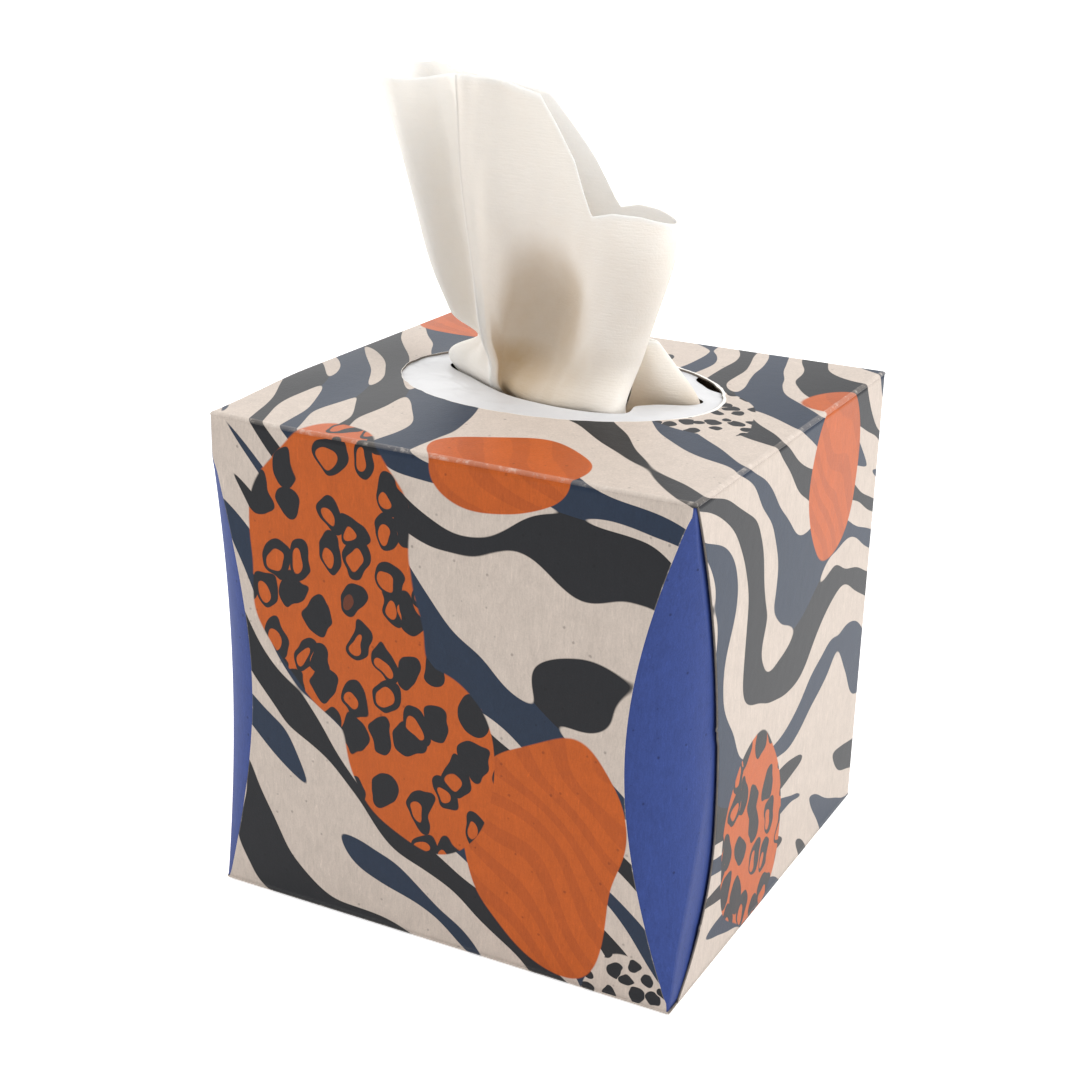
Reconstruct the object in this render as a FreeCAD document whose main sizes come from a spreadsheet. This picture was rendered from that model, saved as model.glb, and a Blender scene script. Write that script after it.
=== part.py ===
import FreeCAD, Part
import math
import os

import Sketcher
from FreeCAD import Rotation, Vector

# A cube-shaped tissue box of recycled board with two lens-shaped front corners.
# Origin: middle of the base. +Z up, +Y to the back, front panel at the lowest Y. Millimetres.

doc = FreeCAD.newDocument("tissue_box")
sizes = doc.addObject("Spreadsheet::Sheet", "Sizes")

DRIVING_SIZES = {
    # carton
    "carton_width": 110.0,
    "carton_depth": 110.0,
    "carton_height": 110.0,
    "board": 0.45,
    # lens-shaped corner on the right of the front, a saddle: round in plan, hollow in height
    "right_lens_radius": 22.0,
    "right_lens_setback": 19.3,
    "right_lens_sink": 8.0,
    # lens-shaped corner on the left of the front
    "left_lens_radius": 15.0,
    "left_lens_setback": 13.8,
    "left_lens_sink": 4.5,
    "left_lens_half_length": 50.0,
    "left_lens_middle": 54.0,
    # glued seam at the front of the right panel
    "seam_gap": 0.5,
    "seam_depth": 27.0,
    "seam_glued": 9.0,
    "edge_widest_inset": 19.2,
    "edge_widest_height": 33.0,
    "edge_foot_inset": 2.5,
    "edge_top_inset": 0.4,
    # board left round the oval opening in the top panel
    "hole_left_margin": 16.0,
    "hole_right_margin": 20.0,
    "hole_front_margin": 28.0,
    "hole_back_margin": 26.0,
    # inner flaps under the top panel and over the base panel
    "top_flap": 10.0,
    "base_flap": 40.0,
    "flap_end_gap": 9.0,
    # film under the opening
    "film": 0.2,
    "film_margin": 5.5,
    # stack of folded tissues, bent over into an upturned U
    "stack_side_gap": 8.0,
    "stack_front_gap": 6.0,
    "stack_headroom": 9.65,
    "stack_crown_radius": 30.0,
    "stack_split": 3.0,
    "stack_split_height": 62.0,
    "stack_edge_radius": 6.0,
    # tissues that stand in the slit
    "tissue": 0.4,
    "tissue_seat_gap": 0.3,
    "tissue_reach": 76.0,
    "next_tissue_reach": 13.0,
}

for row, (alias, value) in enumerate(DRIVING_SIZES.items(), start=1):
    sizes.set(f"A{row}", alias)
    sizes.set(f"B{row}", str(value))
    sizes.setAlias(f"B{row}", alias)
doc.recompute()


def size(alias):
    """A driving size, read back from the sheet."""
    return float(sizes.get(alias))


def bind(thing, **expressions):
    """Ties properties of an object to the sheet, a double underscore standing for a dot."""
    for name, expression in expressions.items():
        path = name.replace("__", ".")
        thing.setExpression(path, expression.replace("$", "Sizes."))


def box(name, length, width, height, x, y, z):
    """A block with its lowest corner at x, y, z."""
    block = doc.addObject("Part::Box", name)
    bind(block, Length=length, Width=width, Height=height)
    bind(block, Placement__Base__x=x, Placement__Base__y=y, Placement__Base__z=z)
    return block


def cut(name, base, *tools):
    """base with all the tools taken away."""
    tool = tools[0]
    if len(tools) > 1:
        tool = doc.addObject("Part::MultiFuse", name + "_tools")
        tool.Shapes = list(tools)
    result = doc.addObject("Part::Cut", name)
    result.Base = base
    result.Tool = tool
    return result


def fuse(name, *shapes):
    """The shapes joined into one."""
    result = doc.addObject("Part::MultiFuse", name)
    result.Shapes = list(shapes)
    result.Refine = True
    return result


# Corner lens
# Each lens is the inner side of a big ring of round section: its tube gives the round corner in plan,
# and the ring's curve, in the upright plane through the corner's diagonal, sinks the middle of the
# corner and brings both tips out to the sharp edge.


def lens_tool(name, side, radius, centre_x, centre_y, middle, ring, thinner):
    """What is taken off a front corner: the block beyond the tube's centre, less the ring itself."""
    reach = f"({ring} + {radius})"
    block = doc.addObject("Part::Box", name + "_block")
    bind(
        block,
        Length="$carton_width / 2",
        Width="$carton_depth / 2",
        Height=f"$carton_height + 2 * {PASS}",
        Placement__Base__x=centre_x if side > 0 else f"{centre_x} - $carton_width / 2",
        Placement__Base__y=f"{centre_y} - $carton_depth / 2",
        Placement__Base__z=f"-{PASS}",
    )
    tube = doc.addObject("Part::Torus", name + "_ring")
    tube.Placement.Rotation = Rotation(Vector(side, -1, 0), 90)
    bind(
        tube,
        Radius1=reach,
        Radius2=f"{radius} - {thinner}",
        Placement__Base__x=f"{centre_x} + {side} * {reach} * sqrt(0.5)",
        Placement__Base__y=f"{centre_y} - {reach} * sqrt(0.5)",
        Placement__Base__z=middle,
    )
    return cut(name, block, tube)


def ring_radius(half_length, sink):
    """Radius of the arc with that sink over that half length."""
    return f"(({half_length})^2 + {sink}^2) / (2 * {sink})"


# Half length, half width and middle of the oval opening, from the board left round it.
HOLE_HALF_LENGTH = "(($carton_width - $hole_left_margin - $hole_right_margin) / 2)"
HOLE_HALF_WIDTH = "(($carton_depth - $hole_front_margin - $hole_back_margin) / 2)"
HOLE_MIDDLE_X = "(($hole_left_margin - $hole_right_margin) / 2)"
HOLE_MIDDLE_Y = "(($hole_front_margin - $hole_back_margin) / 2)"

# Cutting tools pass through what they cut by this much.
PASS = "5"

# How far the seam flap's face lies inside the right panel's face, and how far the ring's tube
# stands proud of the flap's plane, so that the two meet in a clean edge.
FLAP_INSET = "($board + $seam_gap)"
TANGENT_LIFT = "0.02"


def carton_form(name, thinner):
    """The carton as a full block, thinner by that much all over: the outside, or the hollow."""
    block = box(
        name + "_block",
        f"$carton_width - 2 * {thinner}",
        f"$carton_depth - 2 * {thinner}",
        f"$carton_height - 2 * {thinner}",
        f"{thinner} - $carton_width / 2",
        f"{thinner} - $carton_depth / 2",
        thinner,
    )
    glued = "$seam_glued" if thinner != "0" else "0"
    seam_step = box(
        name + "_seam_step",
        "$seam_depth",
        f"$seam_depth + {glued} + {PASS}",
        f"$carton_height + 2 * {PASS}",
        f"$carton_width / 2 - {FLAP_INSET} - {thinner}",
        f"-$carton_depth / 2 - {PASS}",
        f"-{PASS}",
    )
    right = lens_tool(
        name + "_right_lens",
        1,
        "$right_lens_radius",
        f"($carton_width / 2 - {FLAP_INSET} + {TANGENT_LIFT} - $right_lens_radius)",
        "($right_lens_setback - $carton_depth / 2)",
        "$carton_height / 2",
        ring_radius("$carton_height / 2", "$right_lens_sink"),
        thinner,
    )
    left = lens_tool(
        name + "_left_lens",
        -1,
        "$left_lens_radius",
        "($left_lens_setback - $carton_width / 2)",
        "($left_lens_setback - $carton_depth / 2)",
        "$left_lens_middle",
        ring_radius("$left_lens_half_length", "$left_lens_sink"),
        thinner,
    )
    return cut(name, block, seam_step, right, left)


def constraint_adder(sketch):
    """A function that adds a constraint to the sketch, with its value bound to the sheet."""

    def add(kind, *where, value=None, expression=None):
        values = () if value is None else (value,)
        index = sketch.addConstraint(Sketcher.Constraint(kind, *where, *values))
        if expression:
            bind(sketch, **{f"Constraints[{index}]": expression})

    return add


def right_panel_edge():
    """Front margin of the right panel, whose cut edge stands free over the seam flap: two arcs
    that meet at the widest place of the cut-out."""
    body = doc.addObject("PartDesign::Body", "right_panel_edge")
    sketch = body.newObject("Sketcher::SketchObject", "right_panel_outline")
    plane = [f for f in body.Origin.OriginFeatures if f.Role == "YZ_Plane"][0]
    sketch.AttachmentSupport = (plane, [""])
    sketch.MapMode = "FlatFace"
    bind(sketch, AttachmentOffset__Base__z="$carton_width / 2 - $board")

    depth, height = size("carton_depth"), size("carton_height")
    widest = Vector(size("edge_widest_inset") - depth / 2, size("edge_widest_height"), 0)
    foot = Vector(size("edge_foot_inset") - depth / 2, 0, 0)
    head = Vector(size("edge_top_inset") - depth / 2, height, 0)
    back = size("seam_depth") - depth / 2

    def arc(start, end):
        """Arc through both points with its centre level with the widest one."""
        free = start if end is widest else end
        rise, run = free.y - widest.y, widest.x - free.x
        radius = (rise * rise + run * run) / (2 * run)
        centre = Vector(widest.x - radius, widest.y, 0)
        angles = [math.atan2(p.y - centre.y, p.x - centre.x) for p in (start, end)]
        circle = Part.Circle(centre, Vector(0, 0, 1), radius)
        return sketch.addGeometry(Part.ArcOfCircle(circle, *angles))

    lower = arc(foot, widest)
    upper = arc(widest, head)
    corners = [head, Vector(back, height, 0), Vector(back, 0, 0), foot]
    top, rear, bottom = [
        sketch.addGeometry(Part.LineSegment(a, b)) for a, b in zip(corners, corners[1:])
    ]
    rule = constraint_adder(sketch)
    rule("Coincident", lower, 2, upper, 1)
    rule("Coincident", upper, 2, top, 1)
    rule("Coincident", top, 2, rear, 1)
    rule("Coincident", rear, 2, bottom, 1)
    rule("Coincident", bottom, 2, lower, 1)
    rule("Horizontal", top)
    rule("Horizontal", bottom)
    rule("Vertical", rear)
    rule("Horizontal", lower, 3, lower, 2)
    rule("Horizontal", upper, 3, upper, 1)
    rule("PointOnObject", lower, 1, -1)
    rule("DistanceY", -1, 1, top, 1, value=height, expression="$carton_height")
    rule("DistanceY", -1, 1, lower, 2, value=widest.y, expression="$edge_widest_height")
    places = (
        ((lower, 1), foot, "$edge_foot_inset"),
        ((lower, 2), widest, "$edge_widest_inset"),
        ((upper, 2), head, "$edge_top_inset"),
        ((rear, 1), corners[1], "$seam_depth"),
    )
    for (part, end), point, inset in places:
        rule(
            "DistanceX",
            part,
            end,
            -1,
            1,
            value=-point.x,
            expression=f"$carton_depth / 2 - {inset}",
        )
    pad = body.newObject("PartDesign::Pad", "right_panel_board")
    pad.Profile = sketch
    bind(pad, Length="$board")
    return body


def hole_tool():
    """The oval that is taken out of the top panel."""
    oval = doc.addObject("Part::Ellipse", "hole_outline")
    bind(
        oval,
        MajorRadius=HOLE_HALF_LENGTH,
        MinorRadius=HOLE_HALF_WIDTH,
        Placement__Base__x=HOLE_MIDDLE_X,
        Placement__Base__y=HOLE_MIDDLE_Y,
        Placement__Base__z=f"$carton_height - {PASS}",
    )
    tool = doc.addObject("Part::Extrusion", "hole_tool")
    tool.Base = oval
    tool.DirMode = "Custom"
    tool.Dir = Vector(0, 0, 1)
    tool.Solid = True
    bind(tool, LengthFwd=f"2 * {PASS}")
    return tool


def inner_flaps():
    """Glue flaps under the top panel, left, right and back, and the two inner flaps of the base."""
    long = "$carton_depth - 2 * $board - 2 * $flap_end_gap"
    across = "$carton_width - 2 * $board - 2 * $top_flap - 2"
    under_top = "$carton_height - 2 * $board"
    front = "$flap_end_gap + $board - $carton_depth / 2"
    left = "$board - $carton_width / 2"
    seam_side = f"$carton_width / 2 - {FLAP_INSET} - $board"
    flaps = [
        box("flap_top_left", "$top_flap", long, "$board", left, front, under_top),
        box(
            "flap_top_right",
            "$top_flap",
            long,
            "$board",
            f"{seam_side} - $top_flap",
            front,
            under_top,
        ),
        box(
            "flap_top_back",
            across,
            "$top_flap",
            "$board",
            f"-({across}) / 2",
            "$carton_depth / 2 - $board - $top_flap",
            under_top,
        ),
        box("flap_base_left", "$base_flap", long, "$board", left, front, "$board"),
        box(
            "flap_base_right",
            "$base_flap",
            long,
            "$board",
            f"{seam_side} - $base_flap",
            front,
            "$board",
        ),
    ]
    return flaps


def make_carton():
    """The folded blank: an outside form less its hollow, with the free edge of the right panel,
    the inner flaps and the oval opening."""
    shell = cut("carton_shell", carton_form("outside", "0"), carton_form("hollow", "$board"))
    joined = fuse("carton_joined", shell, right_panel_edge(), *inner_flaps())
    return cut("carton", joined, hole_tool())


# Soft sheets
# A standing tissue is a gathered tube: closed curves in plan, one over the other, joined by upright
# curves, one sheet thick, and cut off along its hem. It is faceted, as crumpled paper is.


def opening():
    """Half length, half width and middle of the oval opening."""
    left, right = size("hole_left_margin"), size("hole_right_margin")
    front, back = size("hole_front_margin"), size("hole_back_margin")
    half_length = (size("carton_width") - left - right) / 2
    half_width = (size("carton_depth") - front - back) / 2
    return half_length, half_width, (left - right) / 2, (front - back) / 2


# The slit and the tissues are drawn in plan for an opening of this half length, half width and
# middle, and fitted to the opening of the sizes above.
DRAWN_OPENING = (37.0, 28.0, -2.0, 1.0)


def fitted(points):
    """Plan points, drawn for DRAWN_OPENING, fitted to the opening."""
    drawn_length, drawn_width, drawn_x, drawn_y = DRAWN_OPENING
    half_length, half_width, middle_x, middle_y = opening()
    along, across = half_length / drawn_length, half_width / drawn_width
    return [
        (middle_x + (x - drawn_x) * along, middle_y + (y - drawn_y) * across) for x, y in points
    ]


def closed_curve(points, level):
    """A smooth closed curve through points in plan, at one height."""
    curve = Part.BSplineCurve()
    curve.interpolate([Vector(x, y, level) for x, y in points], PeriodicFlag=True)
    return curve


def clockwise(points):
    """The loop's points, turned round if they run the other way."""
    pairs = zip(points, points[1:] + points[:1])
    area = sum(a[0] * b[1] - b[0] * a[1] for a, b in pairs)
    return points if area < 0 else points[::-1]


def loop_points(points, level, facets, inset):
    """Points along a closed curve, some to each span, moved to its inside by inset."""
    curve = closed_curve(points, level)
    knots = [curve.parameter(Vector(x, y, level)) for x, y in points]
    knots.append(curve.LastParameter)
    found = []
    for start, end in zip(knots, knots[1:]):
        for step in range(facets):
            place = start + (end - start) * step / facets
            along = curve.tangent(place)[0]
            found.append(curve.value(place) + Vector(along.y, -along.x, 0) * inset)
    return found


def height_at(hem, x):
    """Height of the hem, a line through X, Z points, at x."""
    for (x0, z0), (x1, z1) in zip(hem, hem[1:]):
        if x <= x1:
            return z0 + (z1 - z0) * (x - x0) / (x1 - x0)
    return hem[-1][1]


def upright(points, hem, rows, top=None):
    """Points up a smooth curve through matching points of the levels, from the lowest to the hem."""
    heights = [p.z for p in points]
    curve = Part.BSplineCurve()
    curve.interpolate(Points=points, Parameters=heights)
    low, high = heights[0], heights[-1]
    if top is None:
        for _ in range(30):
            top = (low + high) / 2
            if top < height_at(hem, curve.value(top).x):
                low = top
            else:
                high = top
    return [curve.value(heights[0] + (top - heights[0]) * r / rows) for r in range(rows + 1)]


def facet_pair(a, b, c, d):
    """Two flat triangles that fill the four-cornered patch a, b, c, d."""
    return [Part.Face(Part.makePolygon([p, q, r, p])) for p, q, r in ((a, b, c), (a, c, d))]


def gathered_sheet(name, levels, hem, sheet, facets, rows):
    """A gathered tube one sheet thick. Hem is given as X, Z points, facets are those of each span of
    the curves in plan, and rows those up the tube."""
    walls = []
    tops = None
    for inset in (0, sheet):
        rings = [loop_points(clockwise(fitted(p)), z, facets, inset) for z, p in levels]
        tops = tops or [None] * len(rings[0])
        wall = [upright(list(c), hem, rows, t) for c, t in zip(zip(*rings), tops)]
        tops = [column[-1].z for column in wall]
        walls.append(wall)
    outer, inner = walls
    faces = []
    for here in range(len(outer)):
        side = (here + 1) % len(outer)
        for r in range(rows):
            for wall in (outer, inner):
                faces += facet_pair(
                    wall[here][r], wall[side][r], wall[side][r + 1], wall[here][r + 1]
                )
        for end in (0, rows):
            faces += facet_pair(
                outer[here][end], outer[side][end], inner[side][end], inner[here][end]
            )
    shell = Part.makeShell(faces)
    shell.sewShape()
    solid = Part.makeSolid(shell)
    if solid.Volume < 0:
        solid.reverse()
    piece = doc.addObject("Part::Feature", name)
    piece.Shape = solid
    return piece


def crown_height():
    """Top of the stack, with the headroom over it up to the top panel."""
    return size("carton_height") - size("board") - size("stack_headroom")


def make_popup_tissue():
    """The tissue that has been drawn up: an open horn on the left, a sharp fold beside it, a hollow
    in the middle, a wide lobe on the right, and a hem that falls from left to right."""
    start = crown_height() + size("tissue_seat_gap")
    lip = size("carton_height")
    reach = size("tissue_reach")
    # Each loop in plan: left end, horn front, valley, sharp fold, hollow left, hollow middle,
    # hollow right, lobe front, right end, lobe back, back middle, horn back.
    levels = [
        (
            start,
            [(-24, 4), (-21, 2.6), (-17, 2), (-12, 1.4), (-6, 1.4), (0, 1.4), (7, 1), (14, 1)]
            + [(20, 3), (12, 5.6), (-3, 6.2), (-17, 6)],
        ),
        (
            lip,
            [(-25, 4), (-23, 0), (-19, -3), (-14, -6), (-10.5, -5), (-4, -5.5), (3, -8.5)]
            + [(13, -12), (20.5, -7), (13, 3), (-3, 7), (-18, 8)],
        ),
        (
            lip + 0.12 * reach,
            [(-27.5, 4.5), (-25, -1), (-20.5, -3), (-17, -6), (-12, -3), (-5, -1), (3, -5)]
            + [(13.5, -11), (22.5, -6), (14, 3.5), (-3, 7.5), (-20, 9.5)],
        ),
        (
            lip + 0.28 * reach,
            [(-34, 5), (-31, -2), (-25, -3), (-20.5, -6), (-13.5, -2.5), (-6, 1), (3, -2.5)]
            + [(14, -9), (25, -5), (16, 4.5), (-4, 8), (-25, 11.5)],
        ),
        (
            lip + 0.47 * reach,
            [(-39.5, 5), (-37, -3), (-28.5, -3), (-23, -6), (-16, -5), (-7, -3.5), (3, -5.5)]
            + [(14, -8), (26.5, -4), (18, 5), (-6, 8), (-30, 12)],
        ),
        (
            lip + 0.7 * reach,
            [(-45.5, 5), (-42.5, -4), (-32, -4), (-25, -6), (-18, -5.5), (-9, -4.5), (0, -4.5)]
            + [(10, -4.5), (21, 0), (11, 5.5), (-8, 5.5), (-34, 12.5)],
        ),
        (
            lip + 0.95 * reach,
            [(-51, 4), (-47, -5), (-35, -5), (-27, -5.5), (-19, -4.5), (-11, -3), (-3, -2)]
            + [(5, -1), (12, 1.5), (4, 3), (-10, 2), (-38, 12.5)],
        ),
    ]
    hem = [(-55, 0.885), (-27, 0.88), (-8, 0.82), (8.5, 0.525), (55, 0.51)]
    hem = [(fitted([(x, 0)])[0][0], lip + share * reach) for x, share in hem]
    return gathered_sheet("popup_tissue", levels, hem, size("tissue"), facets=3, rows=13)


def make_next_tissue():
    """The tissue under it, drawn up a little behind its right end in a small puffed fold."""
    start = crown_height() + size("tissue_seat_gap")
    lip = size("carton_height")
    reach = size("next_tissue_reach")
    levels = [
        (
            start,
            [(9, 9), (14, 8.6), (20, 8.2), (24.5, 8), (26, 8.8), (23.5, 9.9), (17, 10.6)]
            + [(10.5, 10.8)],
        ),
        (
            lip,
            [(14, 5.8), (19, 3.4), (25, 3), (29, 4.6), (29, 6.5), (26, 8.5), (20, 9.6), (14.6, 8.8)],
        ),
        (
            lip + 0.46 * reach,
            [(15, 6.4), (18.8, 4.4), (22.5, 4.2), (25.5, 5.2), (25.6, 6.7), (22.5, 8.3), (18, 8.9)]
            + [(15.2, 8.3)],
        ),
        (
            lip + reach,
            [(15.4, 7.2), (16.8, 6.1), (18.8, 6), (20, 6.8), (20, 7.7), (18.6, 8.4), (17, 8.6)]
            + [(15.7, 8.2)],
        ),
    ]
    hem = [(14, 0.92), (18, 0.885), (31, 0.54)]
    hem = [(fitted([(x, 0)])[0][0], lip + share * reach) for x, share in hem]
    return gathered_sheet("next_tissue", levels, hem, size("tissue"), facets=3, rows=5)


def make_slit_film():
    """A sheet glued under the top panel. The tissues hold its slit open: the front lip is pushed
    far forward, the back lip a little back, and both meet at the two ends of the slit."""
    top = size("carton_height") - size("board")
    film = size("film")
    half_length, half_width, middle_x, middle_y = opening()
    half_x = half_length + size("film_margin")
    half_y = half_width + size("film_margin")
    corner = Vector(middle_x - half_x, middle_y - half_y, top - film)
    sheet = Part.makeBox(2 * half_x, 2 * half_y, film, corner)
    front_lip = [(-33, 3.5), (-27, -1.2), (-19.5, -4.4), (-14, -7.3), (-4, -7.9), (3, -9.9)]
    front_lip += [(13, -13.3), (22.5, -8), (28.5, 0.5)]
    back_lip = [(31, 4.5), (29.5, 7.8), (25, 9.9), (17, 10.5), (8, 9.3), (-3, 8.5), (-18, 9.3)]
    back_lip += [(-27, 6.6)]
    slit = closed_curve(fitted(front_lip + back_lip), top - 2 * film)
    tool = Part.Face(Part.Wire([slit.toShape()])).extrude(Vector(0, 0, 4 * film))
    piece = doc.addObject("Part::Feature", "slit_film")
    piece.Shape = sheet.cut(tool)
    return piece


def make_tissue_stack():
    """The stack as it sits in the box: bent over in the middle, both ends down."""
    foot = 2 * size("board")
    width = size("carton_width") - 2 * size("stack_side_gap")
    depth = size("carton_depth") - 2 * size("stack_front_gap")
    height = crown_height() - foot
    crown, split = size("stack_crown_radius"), size("stack_split")
    body = Part.makeBox(width, depth, height, Vector(-width / 2, -depth / 2, foot))
    crest = [
        e
        for e in body.Edges
        if all(abs(v.Z - foot - height) < 1e-6 for v in e.Vertexes)
        and abs(e.Vertexes[0].Y - e.Vertexes[1].Y) < 1e-6
    ]
    body = body.makeFillet(crown, crest)
    edges = [
        e
        for e in body.Edges
        if len(e.Vertexes) == 2
        and abs(e.Vertexes[0].X - e.Vertexes[1].X) < 1e-6
        and abs(e.Vertexes[0].Y - e.Vertexes[1].Y) < 1e-6
    ]
    body = body.makeFillet(size("stack_edge_radius"), edges)
    split_height = size("stack_split_height")
    gap = Part.makeBox(width, split, split_height, Vector(-width / 2, -split / 2, foot))
    arch = Part.makeCylinder(
        split / 2, width, Vector(-width / 2, 0, foot + split_height), Vector(1, 0, 0)
    )
    piece = doc.addObject("Part::Feature", "tissue_stack")
    piece.Shape = body.cut(gap.fuse(arch))
    return piece


PIECES = {
    "carton": make_carton(),
    "slit_film": make_slit_film(),
    "tissue_stack": make_tissue_stack(),
    "popup_tissue": make_popup_tissue(),
    "next_tissue": make_next_tissue(),
}
for label, piece in PIECES.items():
    piece.Label = label
doc.recompute()

for thing in doc.Objects:
    if "Invalid" in thing.State or "Error" in thing.State:
        raise RuntimeError(f"{thing.Name} could not be made")
for label, piece in PIECES.items():
    shape = piece.Shape
    if shape.isNull() or not shape.isValid() or len(shape.Solids) != 1:
        raise RuntimeError(f"{label} is not one valid solid")

os.makedirs("parts", exist_ok=True)
for label, piece in PIECES.items():
    piece.Shape.exportStep(f"parts/{label}.step")
    box_of = piece.Shape.BoundBox
    print(label, round(piece.Shape.Volume, 1), box_of)
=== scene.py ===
import math

import bpy
import numpy as np
from mathutils import Matrix, Vector


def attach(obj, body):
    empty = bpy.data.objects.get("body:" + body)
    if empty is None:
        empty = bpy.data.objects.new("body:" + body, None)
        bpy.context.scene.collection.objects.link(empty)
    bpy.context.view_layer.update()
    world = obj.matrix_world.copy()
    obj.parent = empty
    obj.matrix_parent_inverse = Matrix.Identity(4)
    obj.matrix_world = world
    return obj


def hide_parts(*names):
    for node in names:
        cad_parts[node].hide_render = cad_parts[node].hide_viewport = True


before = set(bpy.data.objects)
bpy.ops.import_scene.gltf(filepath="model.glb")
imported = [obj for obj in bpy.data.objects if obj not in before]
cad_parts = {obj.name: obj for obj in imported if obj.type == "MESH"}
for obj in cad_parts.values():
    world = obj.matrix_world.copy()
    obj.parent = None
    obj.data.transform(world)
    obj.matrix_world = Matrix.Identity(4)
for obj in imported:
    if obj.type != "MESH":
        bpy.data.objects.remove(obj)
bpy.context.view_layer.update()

mm = 0.001
scene = bpy.context.scene

# Lengths below are millimetres, brought to metres when a mesh is written.

cameraValues = {
    "azimuth": 27.23,
    "elevation": 20.21,
    "roll": 1.41,
    "place": (180.72, -361.81, 223.88),
    "lens": 63.67,
    "sensor": 36.0,
}


def makeCamera(values):
    azimuth, elevation, roll = (math.radians(values[k]) for k in ("azimuth", "elevation", "roll"))
    x, y, z = math.sin(azimuth), -math.cos(azimuth), math.sin(elevation)
    back = Vector((x * math.cos(elevation), y * math.cos(elevation), z))
    level = Vector((math.cos(azimuth), math.sin(azimuth), 0))
    right = level * math.cos(roll) + back.cross(level) * math.sin(roll)
    turn = Matrix((right, back.cross(right), back)).transposed()
    data = bpy.data.cameras.new("camera")
    data.lens, data.sensor_width = values["lens"], values["sensor"]
    data.clip_start, data.clip_end = 0.01, 20
    camera = bpy.data.objects.new("camera", data)
    camera.matrix_world = Matrix.Translation(Vector(values["place"]) * mm) @ turn.to_4x4()
    scene.collection.objects.link(camera)
    scene.camera = camera


makeCamera(cameraValues)
scene.view_settings.view_transform = "Standard"
print("stage: camera")


# Meshes from grids of points


def joined(*parts):
    return np.stack(parts, axis=-1)


def grid(points, loop=False, kinds=0, flat=None, **attributes):
    # each patch of four neighbours in the rows by columns of points is a face, and a loop joins
    # its ends; kinds are the patches' materials, flat their place on the unfolded sheet
    rows, columns = points.shape[:2]
    index = np.arange(rows * columns).reshape(rows, columns)
    if loop:
        index = np.hstack([index, index[:, :1]])
    quads = np.stack([index[:-1, :-1], index[:-1, 1:], index[1:, 1:], index[1:, :-1]], axis=-1)
    shape = (rows, columns)
    full = {key: np.broadcast_to(array, shape).ravel() for key, array in attributes.items()}
    return {
        "points": points.reshape(-1, 3) * mm,
        "faces": quads.reshape(-1, 4),
        "kinds": np.broadcast_to(kinds, quads.shape[:2]).ravel(),
        "flat": (points[..., :2] if flat is None else flat).reshape(-1, 2) * mm,
        "attributes": full,
    }


def makePiece(name, grids, materials):
    # one mesh from one or more grids
    starts = np.cumsum([0] + [len(g["points"]) for g in grids])
    faces = np.concatenate([g["faces"] + start for g, start in zip(grids, starts)])
    mesh = bpy.data.meshes.new(name)
    mesh.from_pydata(np.concatenate([g["points"] for g in grids]).tolist(), [], faces.tolist())
    kinds = np.concatenate([g["kinds"] for g in grids]).astype(np.int32)
    mesh.polygons.foreach_set("material_index", kinds)
    mesh.polygons.foreach_set("use_smooth", np.ones(len(faces), bool))
    for key in grids[0]["attributes"]:
        values = np.concatenate([g["attributes"][key] for g in grids]).astype(np.float32)
        mesh.attributes.new(key, "FLOAT", "POINT").data.foreach_set("value", values)
    flat = np.concatenate([g["flat"] for g in grids])[faces.ravel()]
    mesh.uv_layers.new(name="flat").data.foreach_set("uv", flat.ravel().astype(np.float32))
    for material in materials:
        mesh.materials.append(material)
    mesh.update()
    piece = bpy.data.objects.new(name, mesh)
    scene.collection.objects.link(piece)
    return piece


def addWall(piece, thickness, even=False, rim=0, inside=0):
    wall = piece.modifiers.new("wall", "SOLIDIFY")
    wall.thickness, wall.offset = thickness * mm, -1
    wall.use_even_offset = even
    wall.material_offset_rim, wall.material_offset = rim, inside


def splineWeights(knots, places):
    # weights that turn values at the knots into those of a natural cubic spline at the places:
    # its second derivatives solve one linear system, and each span is a cubic between two knots
    count, steps = len(knots), np.diff(knots)
    system, values = np.zeros((count, count)), np.zeros((count, count))
    system[0, 0] = system[-1, -1] = 1
    i = np.arange(1, count - 1)
    system[i, i - 1], system[i, i + 1] = steps[:-1], steps[1:]
    system[i, i] = 2 * (steps[:-1] + steps[1:])
    values[i, i - 1], values[i, i + 1] = 6 / steps[:-1], 6 / steps[1:]
    values[i, i] = -6 / steps[:-1] - 6 / steps[1:]
    second, one = np.linalg.solve(system, values), np.eye(count)
    k = np.clip(np.searchsorted(knots, places, side="right") - 1, 0, count - 2)
    width = steps[k]
    right = (places - knots[k]) / width
    left = 1 - right
    weights = 0
    for share, knot in ((left, k), (right, k + 1)):
        bend = (share**3 - share) * width**2 / 6
        weights = weights + share[..., None] * one[knot] + bend[..., None] * second[knot]
    return weights


def loopCurve(points, count):
    # a smooth closed curve through the points, at evenly spaced parameters: the points are
    # repeated past both ends, so that the spline closes without a kink
    points = np.array(points, float)
    number, extra = len(points), 4
    wrapped = np.concatenate([points[-extra:], points, points[: extra + 1]])
    knots = np.arange(-extra, number + extra + 1, dtype=float)
    return splineWeights(knots, np.linspace(0, number, count, endpoint=False)) @ wrapped


def smooth(value, low, high):
    # 0 at low, 1 at high, smooth between; low over high turns it round
    share = np.clip((value - low) / (high - low), 0, 1)
    return share * share * (3 - 2 * share)


def band(value, rise, fall):
    # rises from 0 to 1 over one span and falls again over another
    return smooth(value, *rise) * smooth(value, *fall)


def bell(value, middle, width, power=2):
    return np.exp(-(((value - middle) / width) ** power))


def firstRise(test, low, high):
    # where, between arrays of low and high, a rising test turns positive, by halving
    for _ in range(40):
        middle = (low + high) / 2
        before = test(middle) < 0
        low, high = np.where(before, middle, low), np.where(before, high, middle)
    return (low + high) / 2


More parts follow.
